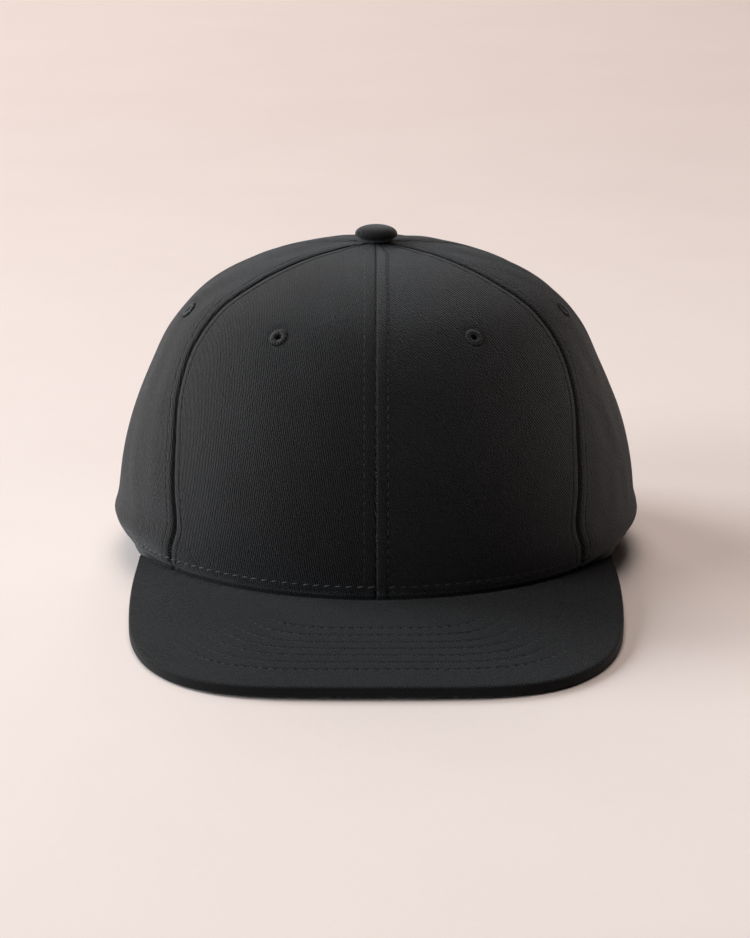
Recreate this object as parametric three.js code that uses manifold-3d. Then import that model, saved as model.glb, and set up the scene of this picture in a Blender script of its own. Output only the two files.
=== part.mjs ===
// A six-panel snapback cap with a flat brim, at rest on its hem and on the front of its brim.
// Millimetres, +Z up. The wearer looks along -Y, so the wearer's left side is at +X.
// While it is built, the vertical axis through the button is X = 0, Y = 0,
// and Z = 0 is the surface that it lies on.
// The finished group is moved so that its origin is at the bottom centre of its box.
import * as THREE from "three";
import { mergeVertices } from "three/addons/utils/BufferGeometryUtils.js";
import Module from "manifold-3d";

// Crown
const CROWN_HALF_WIDTH = 96.3;
const CROWN_FRONT_REACH = 97;
const CROWN_BACK_REACH = 91;
const CROWN_HEIGHT = 114.2;
const CLOTH_WALL = 1.8;
const APEX_HOLE_RADIUS = 2.6;
const SEAM_GAP = 0.3;

// Hem
const FRONT_LIFT = 7;
const HEM_REST_BEHIND_AXIS = 67;
const HEM_TUCK = 6.7;
const HEM_TUCK_HEIGHT = 6.9;
const HEM_BULGE = 1.2;
const HEM_BULGE_HEIGHT = 13.5;
const HEM_BULGE_SPREAD = 4.5;

// Back opening above the straps: its height and its edge's distance past the last snap
const ARCH_HEIGHT = 46;
const ARCH_PAST_SNAPS = 9;

// Button
const BUTTON_RADIUS = 7.6;
const BUTTON_HEIGHT = 5.9;
const STEM_PLAY = 1;
const CLENCH_RADIUS = 4.2;
const CLENCH_THICKNESS = 0.8;

// Eyelets
const EYELET_RADIUS = 3.75;
const EYELET_HOLE_RADIUS = 1.15;
const EYELET_NECK_RADIUS = 2.1;
const EYELET_RAISE = 0.9;

// Brim
const BRIM_LENGTH = 72;
const BRIM_THICKNESS = 3.9;
const BRIM_END_AZIMUTH = 64;
const BRIM_HORN_WIDTH = 3.5;
const BRIM_ARCH = 0.9;
const BRIM_EDGE_ROUND = 1.1;
const BRIM_EDGE_FLAT = 0.4;
const BRIM_SEAM_GAP = 0.45;

// Sweatband
const SWEATBAND_HEIGHT = 30;
const SWEATBAND_THICKNESS = 1.3;
const SWEATBAND_HEM_STEP = 0.6;

// Snap straps
const STRAP_HEIGHT = 19;
const STRAP_THICKNESS = 1.3;
const STRAP_TUCK = 11;
const STRAP_FLOOR_STEP = 0.6;
const STRAP_END_MARGIN = 6;
const SNAP_PITCH = 9.5;
const SNAP_COUNT = 6;
const SNAP_HOLE_RADIUS = 2.2;
const PEG_NECK_RADIUS = 1.7;
const PEG_HEAD_RADIUS = 2.6;
const PEG_HEAD_HEIGHT = 1;
const PEG_HEAD_TAPER = 0.75;
const STRAP_END_BLUNTNESS = 0.35;

// Clearance between pieces that touch on the real cap, and how far a facet may lie inside the true curve
const CLEARANCE = 0.3;
const FACET_DEPTH = 0.3;

// Share of the half width from which the hem's tuck and bulge set in
const HEM_SHAPE_FROM = 0.23;

// Counts of facets
const PANEL_COLUMNS = 10;
const BACK_HEM_COLUMNS = 6;
const ARCH_COLUMNS = 6;
const BRIM_COLUMNS = 28;
const BRIM_ROWS = 3;
const SWEATBAND_COLUMNS = 38;
const STRAP_COLUMNS = 20;
const ROUND_SIDES = 14;
const BUTTON_SIDES = 20;

// Sections of the crown, evenly spaced from the hem (0) to the apex (1).
// rise is a share of the height, the reaches are shares of the half width, front reach and back reach,
// and seam is the azimuth in degrees of the seam between the front and the side panel.
const CROWN_SECTIONS = [
  { rise: 0.0, side: 1, front: 1.0, back: 1.0, seam: 53 },
  { rise: 0.155, side: 0.9855, front: 0.994, back: 1.015, seam: 48.3 },
  { rise: 0.308, side: 0.965, front: 0.975, back: 1.005, seam: 50.2 },
  { rise: 0.456, side: 0.92, front: 0.94, back: 0.967, seam: 53.2 },
  { rise: 0.597, side: 0.852, front: 0.884, back: 0.895, seam: 58.2 },
  { rise: 0.729, side: 0.776, front: 0.8, back: 0.79, seam: 60.4 },
  { rise: 0.841, side: 0.661, front: 0.675, back: 0.655, seam: 60.8 },
  { rise: 0.92, side: 0.505, front: 0.515, back: 0.495, seam: 59.3 },
  { rise: 0.97, side: 0.331, front: 0.345, back: 0.33, seam: 59.7 },
  { rise: 0.993, side: 0.165, front: 0.175, back: 0.165, seam: 62 },
  {
    rise: 1.0,
    side: APEX_HOLE_RADIUS / CROWN_HALF_WIDTH,
    front: APEX_HOLE_RADIUS / CROWN_FRONT_REACH,
    back: APEX_HOLE_RADIUS / CROWN_BACK_REACH,
    seam: 65,
  },
];

// Half outline of the brim from its corner at the hem to its front centre.
// across is a share of its half width, forward a share of the way from the corner to the front.
const BRIM_OUTLINE = [
  { across: 1.0, forward: 0.0 },
  { across: 1.011, forward: 0.206 },
  { across: 1.003, forward: 0.404 },
  { across: 0.977, forward: 0.581 },
  { across: 0.92, forward: 0.724 },
  { across: 0.834, forward: 0.833 },
  { across: 0.726, forward: 0.912 },
  { across: 0.599, forward: 0.961 },
  { across: 0.441, forward: 0.988 },
  { across: 0.235, forward: 0.998 },
  { across: 0.0, forward: 1.0 },
];

// The brim's outline touches the surface it lies on from this share forward, at this share across.
const BRIM_TOUCH = { forward: 0.833, across: 0.834 };

// Centres of the vent eyelets: azimuth from the front in degrees and level up the crown (0 hem, 1 apex).
const EYELETS = [
  { place: "front", azimuth: 30, level: 0.568 },
  { place: "side", azimuth: 80, level: 0.56 },
  { place: "back", azimuth: 150, level: 0.56 },
];

// Outline of the button's dome: across is a share of its radius, up a share of its height.
const BUTTON_DOME = [
  { across: 0.76, up: 0 },
  { across: 0.94, up: 0.18 },
  { across: 1, up: 0.44 },
  { across: 0.97, up: 0.64 },
  { across: 0.86, up: 0.81 },
  { across: 0.62, up: 0.93 },
  { across: 0.32, up: 0.985 },
  { across: 0, up: 1 },
];

// Outline of an eyelet's rim from its edge to its hole: out is a share of the way from the hole to the edge.
const EYELET_RIM = [
  { out: 1, up: 0 },
  { out: 0.8, up: 0.8 },
  { out: 0.45, up: 1 },
  { out: 0, up: 0.5 },
];

// Levels of the rows of facets up a panel, closer together over the tucked hem.
const PANEL_LEVELS = [
  0, 0.02, 0.04, 0.06, 0.08, 0.1, 0.15, 0.2, 0.3, 0.4, 0.5, 0.55, 0.6, 0.65, 0.7, 0.8, 0.9, 1,
];

// Below this level a wall turns from square to the cloth to level at the hem.
const LEVEL_HEM_TOP = 0.08;

const REAR_SEAM_AZIMUTH = 121;
const BACK_CENTRE_AZIMUTH = 180;

// Small steps used in working the shape out
const NUDGE = 1e-3;
const WELD = 1e-4;
const HALVINGS = 40;

const wasm = await Module();
wasm.setup();

// Smooth curve through one column of an evenly spaced table, for a place from 0 to 1.
function along(table, column, place) {
  const steps = table.length - 1;
  const scaled = THREE.MathUtils.clamp(place, 0, 1) * steps;
  const k = Math.min(Math.floor(scaled), steps - 1);
  const t = scaled - k;
  const here = table[k][column];
  const next = table[k + 1][column];
  const before = k > 0 ? table[k - 1][column] : 2 * here - next;
  const after = k + 2 <= steps ? table[k + 2][column] : 2 * next - here;
  const slope = next - before;
  const bend = 2 * before - 5 * here + 4 * next - after;
  const turn = 3 * here - before - 3 * next + after;
  return here + 0.5 * t * (slope + t * (bend + t * turn));
}

function eased(t) {
  return THREE.MathUtils.smoothstep(t, 0, 1);
}

// The place between low and high where a rising function reaches its target.
function solve(rising, target, low, high) {
  for (let i = 0; i < HALVINGS; i++) {
    const middle = (low + high) / 2;
    if (rising(middle) < target) low = middle;
    else high = middle;
  }
  return (low + high) / 2;
}

function hemHeight(azimuth) {
  const forward = Math.cos(azimuth);
  const ahead = forward * (forward > 0 ? CROWN_FRONT_REACH : CROWN_BACK_REACH);
  const share = (ahead + HEM_REST_BEHIND_AXIS) / (CROWN_FRONT_REACH + HEM_REST_BEHIND_AXIS);
  return FRONT_LIFT * eased(share);
}

// Outer face of the crown. At the sides the hem is drawn in below a low bulge.
function crownPoint(azimuth, level) {
  const across = Math.sin(azimuth);
  const forward = Math.cos(azimuth);
  const hem = hemHeight(azimuth);
  const height = (CROWN_HEIGHT - hem) * along(CROWN_SECTIONS, "rise", level);
  const tuck = HEM_TUCK * Math.exp(-((height / HEM_TUCK_HEIGHT) ** 2));
  const bulge = HEM_BULGE * Math.exp(-(((height - HEM_BULGE_HEIGHT) / HEM_BULGE_SPREAD) ** 2));
  const atSide = eased((Math.abs(across) - HEM_SHAPE_FROM) / (1 - HEM_SHAPE_FROM));
  const side = CROWN_HALF_WIDTH * along(CROWN_SECTIONS, "side", level) + (bulge - tuck) * atSide;
  const reach =
    forward > 0
      ? CROWN_FRONT_REACH * along(CROWN_SECTIONS, "front", level)
      : CROWN_BACK_REACH * along(CROWN_SECTIONS, "back", level);
  return new THREE.Vector3(side * across, -reach * forward, hem + height);
}

// Outward direction of the crown, level at the hem so that the hem is flat underneath.
function crownNormal(azimuth, level) {
  const round = crownPoint(azimuth + NUDGE, level).sub(crownPoint(azimuth - NUDGE, level));
  const above = crownPoint(azimuth, Math.min(level + NUDGE, 1));
  const up = above.sub(crownPoint(azimuth, Math.max(level - NUDGE, 0)));
  const normal = round.cross(up).normalize();
  normal.z *= Math.min(1, level / LEVEL_HEM_TOP);
  return normal.normalize();
}

// A point of the crown's outer face, moved inwards.
function insetPoint(azimuth, level, inset) {
  return crownPoint(azimuth, level).addScaledVector(crownNormal(azimuth, level), -inset);
}

// The level at a height above the hem.
function levelAt(height, azimuth) {
  const risen = (level) => crownPoint(azimuth, level).z - hemHeight(azimuth);
  return solve(risen, height, 0, 1);
}

const radians = THREE.MathUtils.degToRad;
const lerp = THREE.MathUtils.lerp;

function frontSeam(level) {
  return radians(along(CROWN_SECTIONS, "seam", level));
}

// The azimuth of a seam moved round by half the gap, towards +1 the back or -1 the front.
function seamEdge(azimuth, level, towards) {
  const round = crownPoint(azimuth + NUDGE, level).distanceTo(crownPoint(azimuth - NUDGE, level));
  const reach = round / (2 * NUDGE);
  return azimuth + (towards * SEAM_GAP) / 2 / reach;
}

// A closed body between an outer and an inner grid of points, both in rows from bottom to top
// and in columns from the front round by +X to the back.
function shell(outer, inner) {
  const rows = outer.length;
  const columns = outer[0].length;
  const position = [...outer.flat(), ...inner.flat()].flatMap((p) => [p.x, p.y, p.z]);
  const index = [];
  const out = (i, j) => i * columns + j;
  const back = (i, j) => rows * columns + i * columns + j;
  const quad = (a, b, c, d) => index.push(a, b, c, a, c, d);
  for (let i = 0; i + 1 < rows; i++) {
    for (let j = 0; j + 1 < columns; j++) {
      quad(out(i, j), out(i, j + 1), out(i + 1, j + 1), out(i + 1, j));
      quad(back(i, j), back(i + 1, j), back(i + 1, j + 1), back(i, j + 1));
    }
    quad(out(i, 0), out(i + 1, 0), back(i + 1, 0), back(i, 0));
    quad(out(i, columns - 1), back(i, columns - 1), back(i + 1, columns - 1), out(i + 1, columns - 1));
  }
  for (let j = 0; j + 1 < columns; j++) {
    quad(out(0, j), back(0, j), back(0, j + 1), out(0, j + 1));
    quad(out(rows - 1, j), out(rows - 1, j + 1), back(rows - 1, j + 1), back(rows - 1, j));
  }
  const geometry = new THREE.BufferGeometry();
  geometry.setAttribute("position", new THREE.Float32BufferAttribute(position, 3));
  geometry.setIndex(index);
  return geometry;
}

// A shell whose grid points come from a function of row and column, the inset and the wall.
function insetShell(rows, columns, place, inset, wall) {
  const grid = (extra) =>
    Array.from({ length: rows }, (_, i) =>
      Array.from({ length: columns }, (_, j) => {
        const { azimuth, level } = place(i, j);
        return insetPoint(azimuth, level, inset(azimuth) + extra);
      }),
    );
  return shell(grid(0), grid(wall));
}

function toSolid(geometry) {
  const bare = geometry.clone();
  bare.deleteAttribute("normal");
  bare.deleteAttribute("uv");
  const merged = mergeVertices(bare, WELD);
  const vertProperties = new Float32Array(merged.attributes.position.array);
  const triVerts = new Uint32Array(merged.index.array);
  return new wasm.Manifold(new wasm.Mesh({ numProp: 3, vertProperties, triVerts }));
}

function toGeometry(solid) {
  const mesh = solid.getMesh();
  const geometry = new THREE.BufferGeometry();
  geometry.setAttribute("position", new THREE.BufferAttribute(new Float32Array(mesh.vertProperties), 3));
  geometry.setIndex(new THREE.BufferAttribute(new Uint32Array(mesh.triVerts), 1));
  return geometry;
}

// A body turned about +Y from a profile of radius and height pairs.
function turnedBody(profile, sides) {
  return new THREE.LatheGeometry(
    profile.map(([radius, height]) => new THREE.Vector2(radius, height)),
    sides,
  );
}

// The same on the outward direction of the crown, its heights measured from a point of the crown
// moved inwards by the inset.
function roundOnCrown(profile, azimuth, level, inset) {
  const turned = turnedBody(profile, ROUND_SIDES);
  const normal = crownNormal(azimuth, level);
  turned.applyQuaternion(new THREE.Quaternion().setFromUnitVectors(new THREE.Vector3(0, 1, 0), normal));
  const centre = insetPoint(azimuth, level, inset);
  return turned.translate(centre.x, centre.y, centre.z);
}

// Distances round the back from the centre seam, positive towards +X

// The distance of a snap on the strap that comes from +X. The other strap's are the same, mirrored.
function snapDistance(k) {
  return (k + 1 - SNAP_COUNT / 2) * SNAP_PITCH;
}

const ARCH_HALF_WIDTH = snapDistance(SNAP_COUNT - 1) + ARCH_PAST_SNAPS;
const STRAP_END_DISTANCE = ARCH_HALF_WIDTH + STRAP_TUCK;

function backAzimuth(distance) {
  return radians(BACK_CENTRE_AZIMUTH) - distance / CROWN_HALF_WIDTH;
}

// Panels

// The panel between two seams, each given as an azimuth for a level.
function panel(fromSeam, toSeam) {
  const place = (i, j) => {
    const level = PANEL_LEVELS[i];
    const start = seamEdge(fromSeam(level), level, 1);
    const end = seamEdge(toSeam(level), level, -1);
    return { azimuth: lerp(start, end, j / PANEL_COLUMNS), level };
  };
  return insetShell(PANEL_LEVELS.length, PANEL_COLUMNS + 1, place, () => 0, CLOTH_WALL);
}

// The feet of a back panel's columns: along the hem, then up the edge of the half-moon opening.
function backPanelFeet() {
  const rearSeam = radians(REAR_SEAM_AZIMUTH);
  const backCentre = radians(BACK_CENTRE_AZIMUTH);
  const azimuthAt = (width, level) =>
    solve((azimuth) => -crownPoint(azimuth, level).x, -width, rearSeam, backCentre);
  const archFoot = azimuthAt(ARCH_HALF_WIDTH, 0);
  const feet = [];
  for (let j = 0; j < BACK_HEM_COLUMNS; j++) {
    feet.push({ azimuth: lerp(seamEdge(rearSeam, 0, 1), archFoot, j / BACK_HEM_COLUMNS), level: 0 });
  }
  for (let j = 0; j <= ARCH_COLUMNS; j++) {
    const turn = (j / ARCH_COLUMNS) * (Math.PI / 2);
    const level = levelAt(ARCH_HEIGHT * Math.sin(turn), backCentre);
    const azimuth = azimuthAt(ARCH_HALF_WIDTH * Math.cos(turn), level);
    feet.push({ azimuth: Math.min(azimuth, seamEdge(backCentre, level, -1)), level });
  }
  return feet;
}

function backPanel() {
  const feet = backPanelFeet();
  const place = (i, j) => {
    const foot = feet[j];
    const level = lerp(foot.level, 1, PANEL_LEVELS[i]);
    const start = seamEdge(radians(REAR_SEAM_AZIMUTH), level, 1);
    const end = seamEdge(radians(BACK_CENTRE_AZIMUTH), level, -1);
    const footStart = seamEdge(radians(REAR_SEAM_AZIMUTH), foot.level, 1);
    const footEnd = seamEdge(radians(BACK_CENTRE_AZIMUTH), foot.level, -1);
    const footShare = (foot.azimuth - footStart) / (footEnd - footStart);
    const share = lerp(footShare, j / (feet.length - 1), PANEL_LEVELS[i]);
    return { azimuth: lerp(start, end, share), level };
  };
  return insetShell(PANEL_LEVELS.length, feet.length, place, () => 0, CLOTH_WALL);
}

// The profile of a drill that reaches past its middle by the same length both ways.
function drill(radius, past) {
  return [
    [0, -past],
    [radius, -past],
    [radius, past],
    [0, past],
  ];
}

// A panel with the round hole that its eyelet sits in.
function withEyeletHole(geometry, { azimuth, level }) {
  const profile = drill(EYELET_NECK_RADIUS + CLEARANCE, 2 * CLOTH_WALL);
  const hole = roundOnCrown(profile, radians(azimuth), level, 0);
  return toGeometry(toSolid(geometry).subtract(toSolid(hole)));
}

// Eyelets and button

// A ring of thread round a vent hole, with a rim on each face of the cloth.
function eyelet({ azimuth, level }) {
  const under = -CLOTH_WALL - CLEARANCE - FACET_DEPTH;
  const bottom = under - EYELET_RAISE / 2;
  const rim = EYELET_RIM.map(({ out, up }) => [
    lerp(EYELET_HOLE_RADIUS, EYELET_RADIUS, out),
    CLEARANCE + EYELET_RAISE * up,
  ]);
  const backRadius = rim[1][0];
  const profile = [
    [EYELET_HOLE_RADIUS, bottom],
    [backRadius, bottom],
    [backRadius, under],
    [EYELET_NECK_RADIUS, under],
    [EYELET_NECK_RADIUS, CLEARANCE],
    ...rim,
    [EYELET_HOLE_RADIUS, bottom],
  ];
  return roundOnCrown(profile, radians(azimuth), level, 0);
}

// The covered button, its stem through the apex and the clenched end inside.
function button() {
  const stem = APEX_HOLE_RADIUS - STEM_PLAY;
  const clenchTop = CROWN_HEIGHT - CLOTH_WALL - CLEARANCE;
  const clenchBottom = clenchTop - CLENCH_THICKNESS;
  const base = CROWN_HEIGHT + CLEARANCE;
  const profile = [
    [0, clenchBottom],
    [CLENCH_RADIUS, clenchBottom],
    [CLENCH_RADIUS, clenchTop],
    [stem, clenchTop],
    [stem, base],
    ...BUTTON_DOME.map(({ across, up }) => [BUTTON_RADIUS * across, base + BUTTON_HEIGHT * up]),
  ];
  return turnedBody(profile, BUTTON_SIDES).rotateX(Math.PI / 2);
}

// Brim

// A point beside the crown at a height above the hem, moved out by the seam's gap.
function besideCrown(azimuth, height) {
  const level = levelAt(height, azimuth);
  const point = crownPoint(azimuth, level);
  const outward = crownNormal(azimuth, 0);
  return point.addScaledVector(outward, BRIM_SEAM_GAP);
}

// The outline's place from a share that runs from one corner (-1) over the front (0) to the other (1).
function brimOutline(share) {
  const corner = besideCrown(radians(BRIM_END_AZIMUTH), 0);
  const front = besideCrown(0, 0);
  const place = 1 - Math.abs(share);
  const across = along(BRIM_OUTLINE, "across", place);
  const forward = along(BRIM_OUTLINE, "forward", place);
  const sag = Math.max(0, 1 - forward / BRIM_TOUCH.forward);
  const arch = Math.max(0, 1 - (across / BRIM_TOUCH.across) ** 2);
  return new THREE.Vector3(
    Math.sign(share) * across * (corner.x + BRIM_HORN_WIDTH),
    lerp(corner.y, front.y - BRIM_LENGTH, forward),
    corner.z * sag ** 2 + BRIM_ARCH * arch,
  );
}

// One solid: sections from the crown out to the outline, lofted from corner to corner.
function brim() {
  const sections = [];
  for (let j = 0; j <= BRIM_COLUMNS; j++) {
    const share = (2 * j) / BRIM_COLUMNS - 1;
    const azimuth = share * radians(BRIM_END_AZIMUTH);
    const innerLow = besideCrown(azimuth, 0);
    const innerHigh = besideCrown(azimuth, BRIM_THICKNESS);
    const edge = brimOutline(share);
    const width = Math.hypot(edge.x - innerLow.x, edge.y - innerLow.y);
    const round = Math.min(BRIM_EDGE_ROUND, width / 3);
    const edgeAt = (tall) => edge.clone().setZ(edge.z + BRIM_THICKNESS * tall);
    const outs = Array.from({ length: BRIM_ROWS + 1 }, (_, i) => (i / BRIM_ROWS) * (1 - round / width));
    sections.push([
      ...outs.map((out) => innerLow.clone().lerp(edge, out)),
      edgeAt((1 - BRIM_EDGE_FLAT) / 2),
      edgeAt((1 + BRIM_EDGE_FLAT) / 2),
      ...outs.reverse().map((out) => innerHigh.clone().lerp(edgeAt(1), out)),
    ]);
  }
  return loft(sections);
}

// A closed body through sections that are closed loops of equally many points.
function loft(sections) {
  const points = sections[0].length;
  const position = sections.flat().flatMap((p) => [p.x, p.y, p.z]);
  const index = [];
  for (let j = 0; j + 1 < sections.length; j++) {
    for (let i = 0; i < points; i++) {
      const a = j * points + i;
      const b = j * points + ((i + 1) % points);
      index.push(a, b + points, b, a, a + points, b + points);
    }
  }
  const last = (sections.length - 1) * points;
  for (let i = 0; i + 1 < points / 2; i++) {
    const j = points - 1 - i;
    index.push(i, j - 1, j, i, i + 1, j - 1);
    index.push(last + i, last + j, last + j - 1, last + i, last + j - 1, last + i + 1);
  }
  const geometry = new THREE.BufferGeometry();
  geometry.setAttribute("position", new THREE.Float32BufferAttribute(position, 3));
  geometry.setIndex(index);
  return geometry;
}

// Sweatband

// The band inside the hem, open at the back where the straps are sewn in.
function sweatband() {
  const end = backAzimuth(STRAP_END_DISTANCE + 2 * CLEARANCE);
  const bottom = levelAt(SWEATBAND_HEM_STEP, 0);
  const top = levelAt(SWEATBAND_HEIGHT, 0);
  const levels = [bottom, ...PANEL_LEVELS.filter((level) => level > bottom && level < top), top];
  const place = (i, j) => ({ azimuth: lerp(-end, end, j / SWEATBAND_COLUMNS), level: levels[i] });
  const inset = () => CLOTH_WALL + CLEARANCE + FACET_DEPTH / 2;
  return insetShell(levels.length, SWEATBAND_COLUMNS + 1, place, inset, SWEATBAND_THICKNESS);
}

// Snap straps

const STRAP_INSET = CLOTH_WALL + CLEARANCE;
const LOWER_STRAP_INSET = STRAP_INSET + STRAP_THICKNESS + CLEARANCE;
const STRAP_MIDDLE = STRAP_FLOOR_STEP + STRAP_HEIGHT / 2;

// A strap from its tucked end to its round free end past the last snap.
// Distances are counted towards the side that the strap comes from.
function strap(side, inset) {
  const free = snapDistance(0) - STRAP_END_MARGIN;
  const half = STRAP_HEIGHT / 2;
  const heights = [-1, 0, 1];
  const place = (i, j) => {
    const share = (side > 0 ? STRAP_COLUMNS - j : j) / STRAP_COLUMNS;
    const distance = lerp(free, STRAP_END_DISTANCE, 1 - Math.cos((share * Math.PI) / 2));
    const intoEnd = THREE.MathUtils.clamp((distance - free) / half, 0, 1);
    const tall = half * Math.max(STRAP_END_BLUNTNESS, Math.sqrt(1 - (1 - intoEnd) ** 2));
    const azimuth = backAzimuth(side * distance);
    return { azimuth, level: levelAt(STRAP_MIDDLE + heights[i] * tall, azimuth) };
  };
  return insetShell(heights.length, STRAP_COLUMNS + 1, place, inset, STRAP_THICKNESS);
}

function snapStrapHoles() {
  const profile = drill(SNAP_HOLE_RADIUS, 2 * STRAP_THICKNESS);
  let solid = toSolid(strap(1, () => STRAP_INSET));
  for (let k = 0; k < SNAP_COUNT; k++) {
    const azimuth = backAzimuth(snapDistance(k));
    const level = levelAt(STRAP_MIDDLE, azimuth);
    solid = solid.subtract(toSolid(roundOnCrown(profile, azimuth, level, STRAP_INSET)));
  }
  return toGeometry(solid);
}

// The strap with pegs runs under the other one, and steps out to its panel past its last peg.
function snapStrapPegs() {
  const stepFrom = snapDistance(SNAP_COUNT - 1) + PEG_HEAD_RADIUS;
  const stepTo = ARCH_HALF_WIDTH + STRAP_TUCK / 2;
  const inset = (azimuth) => {
    const distance = (azimuth - radians(BACK_CENTRE_AZIMUTH)) * CROWN_HALF_WIDTH;
    return lerp(LOWER_STRAP_INSET, STRAP_INSET, eased((distance - stepFrom) / (stepTo - stepFrom)));
  };
  const headBase = STRAP_THICKNESS + 2 * CLEARANCE;
  const peg = [
    [0, -STRAP_THICKNESS / 2],
    [PEG_NECK_RADIUS, -STRAP_THICKNESS / 2],
    [PEG_NECK_RADIUS, headBase],
    [PEG_HEAD_RADIUS, headBase],
    [PEG_HEAD_RADIUS * PEG_HEAD_TAPER, headBase + PEG_HEAD_HEIGHT],
    [0, headBase + PEG_HEAD_HEIGHT],
  ];
  let solid = toSolid(strap(-1, inset));
  for (let k = 0; k < SNAP_COUNT; k++) {
    const azimuth = backAzimuth(-snapDistance(k));
    const level = levelAt(STRAP_MIDDLE, azimuth);
    solid = solid.add(toSolid(roundOnCrown(peg, azimuth, level, LOWER_STRAP_INSET)));
  }
  return toGeometry(solid);
}

// Materials

function cloth(color, roughness) {
  return new THREE.MeshStandardMaterial({ color, roughness, metalness: 0 });
}

const CROWN_TWILL = cloth(0x232427, 0.9);
const BRIM_TWILL = cloth(0x202124, 0.88);
const THREAD = cloth(0x2b2c2f, 0.7);
const BAND_CLOTH = cloth(0x1b1c1e, 0.95);
const STRAP_PLASTIC = cloth(0x18191b, 0.42);

// Assembly

function piece(name, geometry, material) {
  const mesh = new THREE.Mesh(geometry, material.clone());
  mesh.name = name;
  return mesh;
}

const PANELS = {
  front: panel(() => 0, frontSeam),
  side: panel(frontSeam, () => radians(REAR_SEAM_AZIMUTH)),
  back: backPanel(),
};

const cap = new THREE.Group();
for (const [side, across] of [
  ["left", 1],
  ["right", -1],
]) {
  const half = new THREE.Group();
  half.scale.x = across;
  for (const vent of EYELETS) {
    half.add(piece(`${vent.place}_panel_${side}`, withEyeletHole(PANELS[vent.place], vent), CROWN_TWILL));
    half.add(piece(`eyelet_${vent.place}_${side}`, eyelet(vent), THREAD));
  }
  cap.add(half);
}
cap.add(piece("crown_button", button(), CROWN_TWILL));
cap.add(piece("brim", brim(), BRIM_TWILL));
cap.add(piece("sweatband", sweatband(), BAND_CLOTH));
cap.add(piece("snap_strap_holes", snapStrapHoles(), STRAP_PLASTIC));
cap.add(piece("snap_strap_pegs", snapStrapPegs(), STRAP_PLASTIC));

// The origin of the finished part is at the bottom centre of its box.
const box = new THREE.Box3().setFromObject(cap, true);
const middle = box.getCenter(new THREE.Vector3());
cap.position.set(-middle.x, -middle.y, -box.min.z);
const part = new THREE.Group();
part.add(cap);

export default part;
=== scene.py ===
"""A black snapback cap: its cloth, thread and snap strap in fine detail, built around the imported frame.

Shapes are worked out in millimetres round the vertical axis through the button, with the brim towards -Y
and the wearer's left at +X. Azimuth 0 is the front and turns towards +X. Level 0 is the hem, 1 the apex.
"""

import math

import bmesh
import bpy
import numpy as np
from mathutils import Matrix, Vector


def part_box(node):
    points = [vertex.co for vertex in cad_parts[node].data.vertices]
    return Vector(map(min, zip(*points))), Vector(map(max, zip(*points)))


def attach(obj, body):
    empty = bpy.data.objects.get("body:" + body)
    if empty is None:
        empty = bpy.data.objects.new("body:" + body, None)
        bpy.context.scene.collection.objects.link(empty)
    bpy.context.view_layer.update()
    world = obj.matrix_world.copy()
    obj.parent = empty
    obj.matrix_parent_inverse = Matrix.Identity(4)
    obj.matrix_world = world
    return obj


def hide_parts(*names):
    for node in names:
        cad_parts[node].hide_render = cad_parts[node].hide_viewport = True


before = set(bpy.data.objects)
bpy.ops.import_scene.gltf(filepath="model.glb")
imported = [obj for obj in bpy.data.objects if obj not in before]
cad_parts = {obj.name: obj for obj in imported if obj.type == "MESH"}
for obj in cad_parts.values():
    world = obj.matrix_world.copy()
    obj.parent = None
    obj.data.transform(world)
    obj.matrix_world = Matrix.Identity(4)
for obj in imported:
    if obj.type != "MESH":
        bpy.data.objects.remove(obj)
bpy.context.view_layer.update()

MM = 0.001
button_low, button_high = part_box("crown_button")
AXIS = np.array([0, (button_low.y + button_high.y) / 2 / MM, 0])
rng = np.random.default_rng(11)

# Crown
CROWN_HALF_WIDTH = 96.3
CROWN_FRONT_REACH = 97.0
CROWN_BACK_REACH = 91.0
CROWN_HEIGHT = 114.2
CLOTH_WALL = 1.8
APEX_RADIUS = 2.6
REAR_SEAM = math.radians(121)

RISE = (0, 0.155, 0.308, 0.456, 0.597, 0.729, 0.841, 0.92, 0.97, 0.993, 1)
SIDE = (1, 0.9855, 0.965, 0.92, 0.852, 0.776, 0.661, 0.505, 0.331, 0.165, APEX_RADIUS / CROWN_HALF_WIDTH)
FRONT = (1, 0.994, 0.975, 0.94, 0.884, 0.8, 0.675, 0.515, 0.345, 0.175, APEX_RADIUS / CROWN_FRONT_REACH)
BACK = (1, 1.015, 1.005, 0.967, 0.895, 0.79, 0.655, 0.495, 0.33, 0.165, APEX_RADIUS / CROWN_BACK_REACH)
SEAM = (53, 48.3, 50.2, 53.2, 58.2, 60.4, 60.8, 59.3, 59.7, 62, 65)

# Hem
FRONT_LIFT = 7.0
HEM_REST = 67.0
HEM_TUCK = 6.7
HEM_TUCK_HEIGHT = 6.9
HEM_BULGE = 1.2
HEM_BULGE_HEIGHT = 13.5
HEM_BULGE_SPREAD = 4.5
HEM_SHAPE_FROM = 0.23
LEVEL_HEM_TOP = 0.08

# Back opening and straps
ARCH_HEIGHT = 46.0
ARCH_HALF_WIDTH = 37.5
STRAP_TUCK = 11.0
STRAP_MIDDLE = 10.1
STRAP_HALF_HEIGHT = 9.5
STRAP_THICKNESS = 1.3
STRAP_FREE_END = -25.0
STRAP_TUCKED_END = ARCH_HALF_WIDTH + STRAP_TUCK
UPPER_STRAP_INSET = 2.1
LOWER_STRAP_INSET = 3.7
STRAP_STEP_START = 31.1
STRAP_STEP_LENGTH = 11.9
SNAPS = tuple((k - 2) * 9.5 for k in range(6))
SNAP_HOLE_RADIUS = 2.2

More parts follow.
